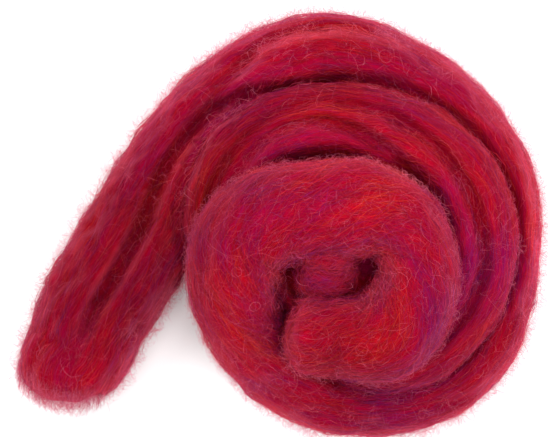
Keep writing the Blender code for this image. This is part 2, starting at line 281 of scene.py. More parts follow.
def add_node(tree, kind, values=None, links=None, **settings):
    """A node with its settings, input values and the sockets that feed its inputs."""
    node = tree.nodes.new(kind)
    for key, value in settings.items():
        setattr(node, key, value)
    for key, value in (values or {}).items():
        node.inputs[key].default_value = value
    for key, socket in (links or {}).items():
        tree.links.new(socket, node.inputs[key])
    return node


def set_ramp(node, stops):
    elements = node.color_ramp.elements
    while len(elements) > len(stops):
        elements.remove(elements[-1])
    while len(elements) < len(stops):
        elements.new(1.0)
    for element, (place, colour) in zip(elements, stops):
        element.position = place
        element.color = (*colour, 1.0)


PURPLE = (0.190, 0.005, 0.120)
RASPBERRY = (0.380, 0.003, 0.058)
CRIMSON = (0.430, 0.002, 0.024)
SCARLET = (0.550, 0.005, 0.015)
ORANGE_RED = (0.700, 0.050, 0.014)
# The pale pink below is mixed in as painted light, standing in for light that comes through single fibres
# and loose wool.
PAINTED_GLOW_PINK = (0.900, 0.210, 0.350)
HEATHER_STOPS = [(0.16, PURPLE), (0.36, RASPBERRY), (0.52, CRIMSON), (0.68, SCARLET), (0.90, ORANGE_RED)]
ZONES = ((0.014, 0.085, 1.0), 3.0, 0.55)
STREAKS = ((0.06, 0.75, 1.0), 5.0, 0.65)
FELTING = ((0.22, 0.35, 1.0), 4.0, 0.6)
# how far each of them, and a fibre's own tone, moves the mix or the strength of the dye: a gain and a start
ZONE_PUSH = (0.7, 0.15)
STREAK_PUSH = (0.40, -0.20)
TONE_PUSH = (0.50, -0.25)
MOTTLE = (0.9, 0.55)


def noise(group, lay, pattern):
    """Noise along and round the strand, from its waves for each mm, its detail and its roughness."""
    waves, detail, roughness = pattern
    place = add_node(group, "ShaderNodeMapping", {"Scale": waves}, {"Vector": lay})
    values = {"Scale": 1.0, "Detail": detail, "Roughness": roughness}
    return add_node(group, "ShaderNodeTexNoise", values, {"Vector": place.outputs[0]}).outputs[0]


def pushed(group, source, gain, start):
    """A value times a gain, from a start."""
    node = add_node(group, "ShaderNodeMath", {1: gain, 2: start}, {0: source}, operation="MULTIPLY_ADD")
    return node.outputs[0]


def combined(group, one, other, operation="ADD"):
    return add_node(group, "ShaderNodeMath", {}, {0: one, 1: other}, operation=operation).outputs[0]


def heather_group():
    """Streaky colour and a fibre height from the lay attribute, in mm along and round the strand."""
    group = new_group(
        "heathered_wool",
        [
            ("Lay", "NodeSocketVector", None),
            ("Tone", "NodeSocketFloat", 0.5),
            ("Hue", "NodeSocketFloat", 0.0),
            ("Paleness", "NodeSocketFloat", 0.0),
            ("Dye_with_painted_shading", "NodeSocketFloat", 1.0),
        ],
        [("Color", "NodeSocketColor"), ("Height", "NodeSocketFloat")],
    )
    given = add_node(group, "NodeGroupInput")
    lay = given.outputs["Lay"]
    zones = noise(group, lay, ZONES)
    streaks = noise(group, lay, STREAKS)
    felting = noise(group, lay, FELTING)
    streak_push = pushed(group, streaks, *STREAK_PUSH)
    tone_push = pushed(group, given.outputs["Tone"], *TONE_PUSH)
    pushes = combined(group, streak_push, tone_push)
    shifted = combined(group, pushes, given.outputs["Hue"])
    value = combined(group, pushed(group, zones, *ZONE_PUSH), shifted)
    ramp = add_node(group, "ShaderNodeValToRGB", {}, {0: value})
    set_ramp(ramp, HEATHER_STOPS)
    # The dye strength also carries painted shade in the clefts and painted light on the flanks, and the mix
    # towards pale pink is painted light.
    mottle = pushed(group, felting, *MOTTLE)
    strength = combined(group, mottle, given.outputs["Dye_with_painted_shading"], "MULTIPLY")
    scaled = {0: ramp.outputs[0], "Scale": strength}
    dyed = add_node(group, "ShaderNodeVectorMath", {}, scaled, operation="SCALE")
    paled = add_node(
        group,
        "ShaderNodeMix",
        {7: (*PAINTED_GLOW_PINK, 1.0)},
        {0: given.outputs["Paleness"], 6: dyed.outputs[0]},
        data_type="RGBA",
    )
    out = add_node(group, "NodeGroupOutput")
    group.links.new(paled.outputs[2], out.inputs["Color"])
    group.links.new(combined(group, streaks, felting), out.inputs["Height"])
    return group


heather = heather_group()
WOOL_ROUGHNESS = 0.9
SHEEN_ROUGHNESS = 0.4
SHEEN_PINK = (0.95, 0.30, 0.42)
BUMP_STRENGTH = 0.8
BODY_BUMP = 0.6
BODY_SHEEN = 0.02
FIBRE_SHEEN = 0.05


def wool(name, bump, sheen):
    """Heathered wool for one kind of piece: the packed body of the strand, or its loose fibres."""
    mat = bpy.data.materials.new(name)
    mat.use_nodes = True
    tree = mat.node_tree
    shader = tree.nodes["Principled BSDF"]
    shader.inputs["Roughness"].default_value = WOOL_ROUGHNESS
    shader.inputs["Specular IOR Level"].default_value = 0.0
    shader.inputs["Sheen Weight"].default_value = sheen
    shader.inputs["Sheen Roughness"].default_value = SHEEN_ROUGHNESS
    shader.inputs["Sheen Tint"].default_value = (*SHEEN_PINK, 1.0)
    lay = add_node(tree, "ShaderNodeAttribute", attribute_name="lay")
    fibre = add_node(tree, "ShaderNodeAttribute", attribute_name="fibre")
    # The dye attribute holds the dye strength with painted shade in the clefts and painted light on the
    # flanks.
    dye_shading_node = add_node(tree, "ShaderNodeAttribute", attribute_name="dye_with_painted_shading")
    parts = add_node(tree, "ShaderNodeSeparateXYZ", {}, {0: fibre.outputs["Vector"]})
    pattern = add_node(tree, "ShaderNodeGroup", node_tree=heather)
    tree.links.new(lay.outputs["Vector"], pattern.inputs["Lay"])
    tree.links.new(parts.outputs["X"], pattern.inputs["Tone"])
    tree.links.new(parts.outputs["Y"], pattern.inputs["Hue"])
    tree.links.new(parts.outputs["Z"], pattern.inputs["Paleness"])
    tree.links.new(dye_shading_node.outputs["Fac"], pattern.inputs["Dye_with_painted_shading"])
    tree.links.new(pattern.outputs["Color"], shader.inputs["Base Color"])
    if bump:
        values = {"Strength": BUMP_STRENGTH, "Distance": bump * MM}
        relief = add_node(tree, "ShaderNodeBump", values, {"Height": pattern.outputs["Height"]})
        tree.links.new(relief.outputs["Normal"], shader.inputs["Normal"])
    return mat


body_wool = wool("packed_wool", BODY_BUMP, BODY_SHEEN)
fibre_wool = wool("loose_wool", 0.0, FIBRE_SHEEN)

# Each soft patch has its place and reach in mm. Dye doesn't take evenly: the first list shifts the mix of
# fibres to orange-red where it is positive and to purple where it is negative. The second makes the painted
# pale light of the loose fibres stronger or weaker, weaker on the tail and in shaded parts, and the third
# makes the colour brighter or darker in patches, partly painted shade, as along the creases.
HUE_PATCHES = [
    (14.0, 30.0, 12.0, 0.14),
    (9.0, -22.0, 12.0, 0.10),
    (27.0, 38.0, 9.0, 0.13),
    (-32.0, 38.0, 6.0, 0.11),
    (-3.0, 80.0, 16.0, 0.05),
    (66.0, 18.0, 18.0, 0.07),
    (-35.0, -2.0, 6.0, 0.09),
    (-32.0, -22.0, 9.0, 0.07),
    (-13.0, -24.0, 8.0, 0.06),
    (0.0, 52.0, 14.0, 0.06),
    (-47.0, 12.0, 9.0, -0.13),
    (-30.0, 29.0, 8.0, -0.11),
    (32.0, -11.0, 11.0, -0.14),
    (50.0, -9.0, 12.0, -0.10),
    (56.0, 8.0, 12.0, -0.22),
    (35.0, -29.0, 11.0, -0.12),
    (15.0, -44.0, 10.0, -0.13),
    (-26.0, -39.0, 8.0, -0.10),
    (-37.0, 62.0, 13.0, -0.07),
    (19.0, 18.0, 7.0, -0.10),
    (46.0, 53.0, 13.0, 0.06),
    (-80.0, 12.0, 34.0, 0.06),
]
PAINTED_GLOW_PATCHES = [
    (-72.0, 18.0, 36.0, -0.75),
    (-94.0, -18.0, 24.0, -0.60),
    (-36.0, 58.0, 20.0, -0.45),
    (12.0, -52.0, 24.0, -0.45),
    (4.0, 78.0, 26.0, -0.30),
    (-5.0, 1.0, 13.0, -0.70),
    (-20.0, -18.0, 9.0, -0.60),
    (55.0, 8.0, 14.0, 0.50),
    (-3.0, 68.0, 9.0, -0.45),
]
DYE_AND_PAINTED_SHADE_PATCHES = [
    (-70.0, 22.0, 34.0, -0.34),
    (-92.0, -18.0, 24.0, -0.30),
    (-74.0, -12.0, 12.0, -0.12),
    (-36.0, 56.0, 18.0, -0.18),
    (10.0, -50.0, 24.0, -0.12),
    (-4.0, 24.0, 22.0, 0.10),
    (-5.0, 3.0, 9.0, -0.08),
    (0.0, -26.0, 16.0, -0.20),
    (4.0, 76.0, 22.0, -0.14),
    (-20.0, -18.0, 6.0, -0.15),
    (-34.0, 0.0, 16.0, 0.06),
    (70.0, 8.0, 15.0, 0.28),
    (-10.0, 47.0, 9.0, 0.13),
    (-3.0, 68.0, 7.0, -0.12),
]


def patched(points, patches):
    """The sum of soft round patches at points."""
    total = np.zeros(len(points))
    for x, y, reach, amount in patches:
        apart = np.hypot(points[:, 0] - x, points[:, 1] - y) / reach
        total += amount * np.exp(-apart * apart)
    return total


def mark(obj, points, lay_values, tone, paleness, brightness=1.0):
    """Stores where each point lies on the strand, its fibre's tone, hue and paleness, and its dye strength
    times a brightness; for the fibres the brightness is painted shade and light, and the paleness is painted
    light.
    """
    fibre_values = np.stack([tone, patched(points, HUE_PATCHES), paleness], axis=1)
    for name, values in (("lay", lay_values), ("fibre", fibre_values)):
        attribute = obj.data.attributes.new(name, "FLOAT_VECTOR", "POINT")
        attribute.data.foreach_set("vector", np.ascontiguousarray(values, dtype=np.float32).ravel())
    dye_and_shade_values = brightness * (1.0 + patched(points, DYE_AND_PAINTED_SHADE_PATCHES))
    attribute = obj.data.attributes.new("dye_with_painted_shading", "FLOAT", "POINT")
    attribute.data.foreach_set("value", np.ascontiguousarray(dye_and_shade_values, dtype=np.float32))


# ---- Packed body of the loose end -------------------------------------------------------------------------
# The stretch of the strand from its blunt tip to where the coil takes it over, at the right of the outer
# turn. Its skin lies a little below the tips of its fibres, and its end is tucked into the coil's, as one
# strand runs on through.

SKIN_DEPTH = 1.8
LOW_SKIN_SHARE = 0.9
SECTION_SIDES = 84
OVERRUN = 9.0
TUCK_SHARE = 0.12
TUCK_LENGTH = 12.0
BODY_BRIGHTNESS = 0.85


def strand_mesh(lay, first, last, narrow_first=False, narrow_last=False):
    """A closed strand from one place along it to another, its sections bridged one to the next."""
    bm = bmesh.new()
    places = np.linspace(first, last, max(2, int((last - first) / STATION_STEP)))
    turns = np.linspace(0.0, 2.0 * math.pi, SECTION_SIDES, endpoint=False)
    below = np.maximum(0.0, -np.sin(turns))
    rings = []
    for place in places:
        points = skin(lay, np.full(SECTION_SIDES, place), turns, SKIN_DEPTH * (LOW_SKIN_SHARE * below - 1.0))
        middle_point = lay.read(place, lay.middle)
        tuck = 1.0
        if narrow_first:
            tuck = 1.0 - TUCK_SHARE * max(0.0, 1.0 - (place - first) / TUCK_LENGTH)
        if narrow_last:
            tuck = 1.0 - TUCK_SHARE * max(0.0, 1.0 - (last - place) / TUCK_LENGTH)
        points = middle_point + (points - middle_point) * tuck
        ring = bmesh.ops.create_circle(bm, cap_ends=False, radius=1.0, segments=SECTION_SIDES)["verts"]
        for vert, point in zip(ring, points):
            vert.co = point * MM
        rings.append(list({edge for vert in ring for edge in vert.link_edges}))
    for ring, following in zip(rings, rings[1:]):
        bmesh.ops.bridge_loops(bm, edges=ring + following)
    bmesh.ops.holes_fill(bm, edges=rings[0] + rings[-1], sides=SECTION_SIDES)
    bmesh.ops.triangulate(bm, faces=[face for face in bm.faces if len(face.verts) > 4])
    bmesh.ops.recalc_face_normals(bm, faces=bm.faces)
    return bm


def mesh_object(name, bm):
    mesh = bpy.data.meshes.new(name)
    bm.to_mesh(mesh)
    bm.free()
    mesh.shade_smooth()
    obj = bpy.data.objects.new(name, mesh)
    bpy.context.scene.collection.objects.link(obj)
    return obj


def unit(vectors):
    return vectors / np.maximum(np.linalg.norm(vectors, axis=-1, keepdims=True), 1e-9)


# The middle turn's lengths start well past the end of the outer strand's, so that the two don't mix. Near
# the fold at the eye, whose middle and reach are given, places are looked up higher, on the flank above it.
MIDDLE_LAY_START = 700.0
CHART_SIDES = 48
EYE_PLACE = np.array([-5.0, 2.5, 47.0])
EYE_REACH = np.array([11.0, 9.5, 12.0])
EYE_RISE = np.array([0.0, 9.0, 6.0])
EYE_EDGE = 1.1
EYE_STEEPNESS = 6.0
FLOW_STEP = 0.5


class Chart:
    """Finds where on the strands a point of the surface lies, and which way the fibres run there."""

    def __init__(self):
        points = []
        places = []
        flows = []
        turns = np.linspace(0.0, 2.0 * math.pi, CHART_SIDES, endpoint=False)
        for lay, start in ((outer, 0.0), (middle, MIDDLE_LAY_START)):
            for along in lay.along:
                here = np.full(CHART_SIDES, along)
                points.append(skin(lay, here, turns))
                beside = lay.round_way(here, turns)
                places.append(np.stack([start + here, beside, np.zeros(CHART_SIDES)], axis=1))
                flows.append(flow_of(lay, here, turns))
        self.places = np.concatenate(places)
        self.flows = np.concatenate(flows)
        points = np.concatenate(points)
        self.tree = KDTree(len(points))
        for i, point in enumerate(points):
            self.tree.insert(point, i)
        self.tree.balance()

    def nearest(self, points):
        """The places and directions there: on the fold at the eye, those of the flank above it."""
        apart = np.linalg.norm((points - EYE_PLACE) / EYE_REACH, axis=1)
        raised = points + np.clip(EYE_STEEPNESS * (EYE_EDGE - apart), 0.0, 1.0)[:, None] * EYE_RISE
        found = np.array([self.tree.find(point)[1] for point in raised])
        return self.places[found], self.flows[found]


def flow_of(lay, along, turn):
    """The direction of the fibres at places on the strand's surface."""
    before = skin(lay, along - FLOW_STEP, lay.turn_beside(along, turn, along - FLOW_STEP))
    after = skin(lay, along + FLOW_STEP, lay.turn_beside(along, turn, along + FLOW_STEP))
    return unit(after - before)


chart = Chart()


def points_of(mesh):
    flat = np.empty(3 * len(mesh.vertices), dtype=np.float32)
    mesh.vertices.foreach_get("co", flat)
    return flat.reshape(-1, 3) / MM


def finish_body(obj, node):
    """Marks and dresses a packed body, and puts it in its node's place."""
    points = points_of(obj.data)
    plain = np.full(len(points), 0.5)
    mark(obj, points, chart.nearest(points)[0], plain, 0.0 * plain, BODY_BRIGHTNESS)
    obj.data.materials.clear()
    obj.data.materials.append(body_wool)
    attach(obj, "root")
    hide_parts(node)


loose_end = mesh_object("loose_end_body", strand_mesh(outer, 0.0, parting + OVERRUN, narrow_last=True))
finish_body(loose_end, "loose_end")


# ---- Packed body of the coil ------------------------------------------------------------------------------
# The rest of the outer turn, the top lobe and its inner end, the middle turn and the hidden windings under
# them, fused into one skin as the felted turns cling together. At the eye the lobe's inner flank sags in
# one small soft fold between two hollows.

CORE_RADIUS = 42.0
CORE_TOP = 34.0
CORE_BACK = 5.0
EYE_FOLD = [
    # middle, half size and turn of the fold's low part and of its root on the flank
    ((-5.0, 1.5, 44.5), (10.0, 11.0, 9.5), math.radians(-12.0)),
    ((-5.0, 7.5, 49.0), (9.4, 6.6, 8.8), 0.0),
]
FUSE_SIZE = 1.0


def mound(place, half_size, turn=0.0):
    """An ellipsoid that stands on the surface or higher, turned about the vertical."""
    bm = bmesh.new()
    bmesh.ops.create_uvsphere(bm, u_segments=64, v_segments=32, radius=1.0)
    bmesh.ops.scale(bm, vec=Vector(half_size) * MM, verts=bm.verts)
    bmesh.ops.rotate(bm, cent=(0, 0, 0), matrix=Matrix.Rotation(turn, 3, "Z"), verts=bm.verts)
    bmesh.ops.translate(bm, vec=Vector(place) * MM, verts=bm.verts)
    everything = bm.verts[:] + bm.edges[:] + bm.faces[:]
    cut = bmesh.ops.bisect_plane(
        bm, geom=everything, plane_co=(0, 0, FLOOR_LIFT * MM), plane_no=(0, 0, 1), clear_inner=True
    )
    rim = [item for item in cut["geom_cut"] if isinstance(item, bmesh.types.BMEdge)]
    if rim:
        bmesh.ops.holes_fill(bm, edges=rim)
    return bm


def keep_outer_skin(bm):
    """Deletes the small closed skins of hollows left between the turns."""
    unseen = set(bm.verts)
    bodies = []
    while unseen:
        body = set()
        waiting = [unseen.pop()]
        while waiting:
            vert = waiting.pop()
            body.add(vert)
            for edge in vert.link_edges:
                other = edge.other_vert(vert)
                if other in unseen:
                    unseen.discard(other)
                    waiting.append(other)
        bodies.append(body)
    bodies.sort(key=len)
    for body in bodies[:-1]:
        bmesh.ops.delete(bm, geom=list(body), context="VERTS")


def fused(name, parts):
    whole = bmesh.new()
    for part in parts:
        mesh = bpy.data.meshes.new("part")
        part.to_mesh(mesh)
        part.free()
        whole.from_mesh(mesh)
        bpy.data.meshes.remove(mesh)
    obj = mesh_object(name, whole)
    remesh = obj.modifiers.new("fuse", "REMESH")
    remesh.mode = "VOXEL"
    remesh.voxel_size = FUSE_SIZE * MM
    soften = obj.modifiers.new("soften", "SMOOTH")
    soften.factor = 0.5
    soften.iterations = 2
    graph = bpy.context.evaluated_depsgraph_get()
    skin_mesh = bpy.data.meshes.new_from_object(obj.evaluated_get(graph))
    obj.modifiers.clear()
    obj.data = skin_mesh
    bm = bmesh.new()
    bm.from_mesh(skin_mesh)
    keep_outer_skin(bm)
    bm.to_mesh(skin_mesh)
    bm.free()
    skin_mesh.shade_smooth()
    return obj


coil = fused(
    "coil_body",
    [
        strand_mesh(outer, parting - OVERRUN, outer_end, narrow_first=True),
        strand_mesh(middle, 0.0, middle_end),
        mound((0.0, CORE_BACK, 0.0), (CORE_RADIUS, CORE_RADIUS, CORE_TOP)),
        *[mound(*shape) for shape in EYE_FOLD],
    ],
)
finish_body(coil, "coil")


# ---- Painted shade and light ----------------------------------------------------------------------------
# Painted shade: deep in the clefts the colour is darker, by how little of the skin is open there. Painted
# light: on the open, steep flanks it is brighter and paler, standing in for light that comes through the
# looser wool.

OPEN_REACH = 9.0
OPEN_TILTS = (0.35, 0.95)
OPEN_WAYS = 6
OPEN_START = 0.8
OPEN_SIDE = (0.31, 0.95, 0.04)
CLEFT_PAINTED_SHADE = 0.60
FLANK_PAINTED_LIGHT = 0.95
FLANK_POWER = 1.5
CLIMB_BEFORE = 20.0
CLIMB_AFTER = 30.0
UPPER_RIM = 0.35
MIDDLE_RIM = 0.15
FLANK_PAINTED_GLOW = 0.65
PALE_FROM = 0.12
LOW_FLANK = 0.35
LOW_SHARE = 0.2
LOOSE_LOW_SHARE = 0.7

graph = bpy.context.evaluated_depsgraph_get()
skins = {"loose_end": BVHTree.FromObject(loose_end, graph), "coil": BVHTree.FromObject(coil, graph)}


def openness(points, normals):
    """The share of the directions off the surface that reach out of the wool, at each point."""
    side = unit(np.cross(normals, OPEN_SIDE))
    ahead = np.cross(normals, side)
    clear = np.zeros(len(points))
    for tilt in OPEN_TILTS:
        for k in range(OPEN_WAYS):
            round_angle = 2.0 * math.pi * k / OPEN_WAYS
            ways = normals * math.cos(tilt) + math.sin(tilt) * (
                side * math.cos(round_angle) + ahead * math.sin(round_angle)
            )
            for i, (point, way) in enumerate(zip((points + OPEN_START * normals) * MM, ways)):
                hit = any(tree.ray_cast(point, way, OPEN_REACH * MM)[0] for tree in skins.values())
                clear[i] += 0.0 if hit else 1.0
    return clear / (len(OPEN_TILTS) * OPEN_WAYS)


def rim_share(places):
    """How loose the flanks are, for the fuzz's rise and the share of painted light there: fully on the outer
    turn, and less on the turns that lie over it.
    """
    climb = outer.place_of_angle(TWIST_START)
    steps = [climb - CLIMB_BEFORE, climb + CLIMB_AFTER, MIDDLE_LAY_START - 1.0, MIDDLE_LAY_START]
    return np.interp(places[:, 0], steps, [1.0, UPPER_RIM, UPPER_RIM, MIDDLE_RIM])


def low_part(normals, low_share):
    """How much of the flanks' painted light is left: all of it high on them, and low_share near the surface.
    """
    return low_share + (1.0 - low_share) * np.clip(normals[:, 2] / LOW_FLANK, 0.0, 1.0)


def painted_shade_and_light(open_share, normals, places, low_share=LOW_SHARE):
    """Painted shade and light on the dye: darker in the clefts, where little of the skin is open, and
    brighter on open, steep flanks.
    """
    flank_painted_light = (1.0 - np.abs(normals[:, 2])) ** FLANK_POWER * open_share**3 * rim_share(places)
    flank_painted_light = flank_painted_light * low_part(normals, low_share)
    return (CLEFT_PAINTED_SHADE + (1.0 - CLEFT_PAINTED_SHADE) * open_share) * (1.0 + FLANK_PAINTED_LIGHT * flank_painted_light)


def painted_flank_glow(open_share, normals, places, low_share=LOW_SHARE):
    """Painted light on the flanks: how much pale pink stands in for the light that comes through their loose
    wool.
    """
    steep = np.clip(1.0 - np.abs(normals[:, 2]) - PALE_FROM, 0.0, 1.0) * low_part(normals, low_share)
    return FLANK_PAINTED_GLOW * steep * open_share**8 * rim_share(places)


def normals_of(mesh):
    flat = np.empty(3 * len(mesh.vertices), dtype=np.float32)
    mesh.vertices.foreach_get("normal", flat)
    return flat.reshape(-1, 3)


# Each body's dye gets painted shade in the clefts and painted light on the flanks.
for packed in (loose_end, coil):
    facings = normals_of(packed.data)
    open_share = openness(points_of(packed.data), facings)
    places = chart.nearest(points_of(packed.data))[0]
    dye_with_painted_shading = packed.data.attributes["dye_with_painted_shading"]
    dye_shading_values = np.empty(len(open_share), dtype=np.float32)
    dye_with_painted_shading.data.foreach_get("value", dye_shading_values)
    dye_shading_values *= painted_shade_and_light(open_share, facings, places)
    dye_with_painted_shading.data.foreach_set("value", dye_shading_values.astype(np.float32))
    # Each body's paleness is painted light on its flanks.
    fibre_marks = packed.data.attributes["fibre"]
    marks = np.empty(3 * len(open_share), dtype=np.float32)
    fibre_marks.data.foreach_get("vector", marks)
    marks[2::3] = painted_flank_glow(open_share, facings, places)
    fibre_marks.data.foreach_set("vector", marks)


# ---- Fibres lying along the strand ----------------------------------------------------------------------
# Carding lays the fibres along the strand. Those near its surface show as fine, slightly crimped lines,
# and on the twisted lobe they cross each other more.

FIBRE_SIDES = 3
FIBRE_END_WIDTH = 0.55
SHOWN_WITHIN = 3.6
OTHER_BODY_WITHIN = 12.0
BURIED_PAST = 0.3
rng = np.random.default_rng(11)


def shows(body, point):
    """True where a point lies near its own body's skin and isn't buried in the other body."""
    place = Vector(point) * MM
    near, _, _, far = skins[body].find_nearest(place)
    if near is None or far > SHOWN_WITHIN * MM:
        return False
    other = "coil" if body == "loose_end" else "loose_end"
    near, normal, _, far = skins[other].find_nearest(place)
    return far > OTHER_BODY_WITHIN * MM or (place - near).dot(normal) > -BURIED_PAST * MM


def roots(lay, body, first, last, count, lowest=-0.45):
    """Places on the strand's exposed surface: along it and round it."""
    kept = []
    while sum(len(batch) for batch in kept) < count:
        along = rng.uniform(first, last, 2 * count)
        turn = rng.uniform(0.0, 2.0 * math.pi, 2 * count)
        size = lay.read(along, lay.half_width) / lay.half_width.max()
        pair = np.stack([along, turn], axis=1)[rng.uniform(0.0, 1.0, 2 * count) < size]
        pair = pair[np.sin(pair[:, 1]) > lowest]
        point = skin(lay, pair[:, 0], pair[:, 1])
        kept.append(pair[np.array([shows(body, place) for place in point])])
    return np.concatenate(kept)[:count].T


def skin_at(points, places):
    """How open the skin nearest to each point is, and the painted shade and light on its colour and the
    painted pale light there.
    """
    feet = np.empty((len(points), 3))
    facings = np.empty((len(points), 3))
    for i, point in enumerate(points):
        place = Vector(point) * MM
        near = min((tree.find_nearest(place) for tree in skins.values()), key=lambda found: found[3])
        feet[i] = near[0] / MM
        facings[i] = near[1]
    open_share = openness(feet, facings)
    depth = painted_shade_and_light(open_share, facings, places)
    return open_share, depth, painted_flank_glow(open_share, facings, places)


def fibre_object(name, body, paths, thick, lay_values, paleness, depth):
    """Joins many fibres, each a pointed tube of three sides along its own path, in one mesh."""
    count, steps, _ = paths.shape
    way = unit(np.gradient(paths, axis=1))
    first = unit(np.cross(way, rng.normal(size=(count, 1, 3))))
    second = np.cross(way, first)
    inner = steps - 2
    angles = 2.0 * math.pi * np.arange(FIBRE_SIDES) / FIBRE_SIDES
    from_end = np.minimum(np.arange(1, steps - 1), np.arange(inner, 0, -1))
    taper = np.minimum(1.0, FIBRE_END_WIDTH + from_end / inner)
    radius = 0.5 * thick[:, None, None, None] * taper[None, :, None, None]
    spokes = (
        np.cos(angles)[None, None, :, None] * first[:, 1:-1, None, :]
        + np.sin(angles)[None, None, :, None] * second[:, 1:-1, None, :]
    )
    rings = paths[:, 1:-1, None, :] + radius * spokes
    points = np.concatenate([paths[:, :1], rings.reshape(count, -1, 3), paths[:, -1:]], axis=1)
    points[..., 2] = np.maximum(points[..., 2], FLOOR_LIFT)
    each = points.shape[1]
    faces = []
    for k in range(FIBRE_SIDES):
        after = (k + 1) % FIBRE_SIDES
        faces.append((0, 1 + after, 1 + k))
        for j in range(inner - 1):
            low = 1 + FIBRE_SIDES * j
            high = low + FIBRE_SIDES
            faces.append((low + k, low + after, high + after))
            faces.append((low + k, high + after, high + k))
        end = 1 + FIBRE_SIDES * (inner - 1)
        faces.append((end + k, end + after, each - 1))
    corners = (np.array(faces)[None] + each * np.arange(count)[:, None, None]).reshape(-1)
    mesh = bpy.data.meshes.new(name)
    mesh.vertices.add(count * each)
    mesh.vertices.foreach_set("co", (points * MM).astype(np.float32).ravel())
    mesh.loops.add(len(corners))
    mesh.loops.foreach_set("vertex_index", corners.astype(np.int32))
    mesh.polygons.add(len(corners) // 3)
    mesh.polygons.foreach_set("loop_start", np.arange(0, len(corners), 3, dtype=np.int32))
    mesh.update(calc_edges=True)
    mesh.shade_smooth()
    obj = bpy.data.objects.new(name, mesh)
    bpy.context.scene.collection.objects.link(obj)
    tone = rng.uniform(0.0, 1.0, count)
    mark(
        obj,
        points.reshape(-1, 3),
        np.repeat(lay_values, each, axis=0),
        np.repeat(tone, each),
        np.repeat(paleness, each),
        np.repeat(depth, each),
    )
    mesh.materials.append(fibre_wool)
    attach(obj, "root")
    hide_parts(body)
    return obj


LYING_STEPS = 4
LYING_LENGTH = (7.0, 15.0)
LYING_THICK = (0.08, 0.15)
LYING_DEPTH = (-1.8, -0.4)
LYING_PROUD = 0.3
LYING_STRAY = 0.14
TWISTED_STRAY = 0.8
LYING_PALENESS = (0.0, 0.06)
CRIMP_REACH = 0.4
CRIMP_WAVE = (7.0, 13.0)
LYING_START = 0.5
PAST_PARTING = 1.0
BEFORE_PARTING = 3.0


def lying_fibres(name, lay, start, body, first, last, count):
    """Crimped fibres along one stretch of a strand, at or just under its surface."""
    root_along, root_turn = roots(lay, body, first, last, count)
    share = np.linspace(-0.5, 0.5, LYING_STEPS)[None, :]
    length = rng.uniform(*LYING_LENGTH, (count, 1))
    strays = LYING_STRAY + TWISTED_STRAY * lay.read(root_along, lay.shear)
    stray = rng.normal(0.0, 1.0, (count, 1)) * strays[:, None]
    wave = length * share / rng.uniform(*CRIMP_WAVE, (count, 1)) + rng.uniform(0.0, 1.0, (count, 1))
    crimp = CRIMP_REACH * np.sin(2.0 * math.pi * wave)
    along = np.clip(root_along[:, None] + length * share * np.cos(stray), 0.0, lay.along[-1])
    turn = lay.turn_beside(root_along[:, None], root_turn[:, None], along)
    turn = turn + (length * share * np.sin(stray) + crimp) / lay.read(root_along, lay.half)[:, None]
    arch = 1.0 - (2.0 * share) ** 2
    lift = rng.uniform(*LYING_DEPTH, (count, 1)) + rng.exponential(LYING_PROUD, (count, 1)) * arch
    paths = skin(lay, along, turn, lift)
    places = np.stack([start + root_along, lay.round_way(root_along, root_turn), np.zeros(count)], axis=1)
    thick = rng.uniform(*LYING_THICK, count)
    # The skin below gives painted shade and light, and the paleness, painted light, is less in the clefts as
    # painted shade.
    open_share, depth, pale = skin_at(paths[:, LYING_STEPS // 2], places)
    paleness = rng.uniform(*LYING_PALENESS, count) * open_share + pale
    return fibre_object(name, body, paths, thick, places, paleness, depth)


loose_last = parting + PAST_PARTING
loose_fibres = lying_fibres("loose_end_fibres", outer, 0.0, "loose_end", LYING_START, loose_last, 9500)
lying_fibres("outer_turn_fibres", outer, 0.0, "coil", parting - BEFORE_PARTING, outer_end, 13000)
lying_fibres("middle_turn_fibres", middle, MIDDLE_LAY_START, "coil", 0.0, middle_end, 7000)


# ---- Fuzz -----------------------------------------------------------------------------------------------
# Loose fibres that stand off the strand all over, curled and crossing the lay. They are painted paler and
# pinker than the packed wool, as painted light for light that comes through single fibres, more so the
# prouder they stand and on the flanks, and less in the clefts, as painted shade.

FUZZ_STEPS = 4
FUZZ_LENGTH = (3.0, 8.0)
FUZZ_THICK = (0.05, 0.09)
FUZZ_RISE = 2.0
FUZZ_RISE_MOST = 4.8
FUZZ_LEAST_RISE = 0.3
FUZZ_ROOTS = (0.4, 0.8)
FUZZ_TURN = 0.7
FUZZ_CURL = 0.22
FUZZ_PALENESS = (0.02, 0.20)
FUZZ_TIP_PALENESS = 0.12
FLANK_FUZZ = 1.6
FUZZ_FLANK_PAINTED_GLOW = 1.1
PRESSED_BELOW = 0.30
PRESSED_SPREAD = 0.15
SURFACE_ROUND = 19.0
RISE_POWER = 0.8
SPARE_ROOTS = 1.2
PATCHED_RANGE = (0.1, 1.5)


def body_roots(obj, body, count, lowest=-0.5, middle=(0.0, 0.0, 0.0), reach=200.0):
    """Places spread evenly over a body's exposed skin, within a reach: points and normals, in mm."""
    mesh = obj.data
    mesh.calc_loop_triangles()
    corners = np.empty(3 * len(mesh.loop_triangles), dtype=np.int32)
    mesh.loop_triangles.foreach_get("vertices", corners)
    corner_points = points_of(mesh)[corners].reshape(-1, 3, 3)
    spans = np.cross(corner_points[:, 1] - corner_points[:, 0], corner_points[:, 2] - corner_points[:, 0])
    normals = unit(spans)
    steepness = 1.0 - np.abs(normals[:, 2])
    weight = np.linalg.norm(spans, axis=1) * (1.0 + FLANK_FUZZ * steepness)
    weight[normals[:, 2] < lowest] = 0.0
    weight[np.linalg.norm(corner_points[:, 0] - middle, axis=1) > reach] = 0.0
    picked = rng.choice(len(weight), int(SPARE_ROOTS * count), p=weight / weight.sum())
    share = rng.dirichlet((1.0, 1.0, 1.0), len(picked))
    point = (corner_points[picked] * share[:, :, None]).sum(1)
    seen = np.array([shows(body, place) for place in point])
    return point[seen][:count], normals[picked][seen][:count]


